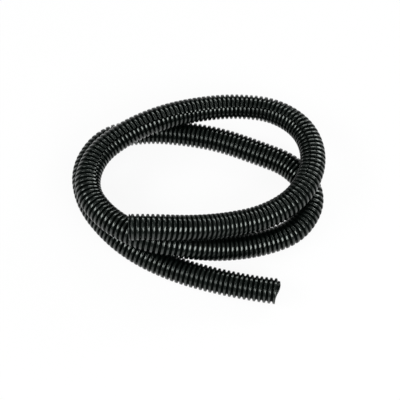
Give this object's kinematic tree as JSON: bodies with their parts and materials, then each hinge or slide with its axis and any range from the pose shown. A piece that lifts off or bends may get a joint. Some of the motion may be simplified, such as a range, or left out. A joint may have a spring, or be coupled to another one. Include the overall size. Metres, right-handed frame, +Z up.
{
  "type": "corrugated conduit",
  "caption": "Length of slit corrugated plastic tube that sheathes a bundle of cables, cut square at both ends and lying in a loose coil.",
  "frame": {"origin": "centre of the bounding box in plan, on the floor the coil lies on", "axes": "+X to the right in the picture, along the coil's longest extent; +Y away from the camera; +Z up"},
  "size_m": [0.1859, 0.1652, 0.0572],
  "materials": {
    "tube": "gloss"
  },
  "bodies": {
    "root": {"conduit": "tube"}
  },
  "joints": []
}
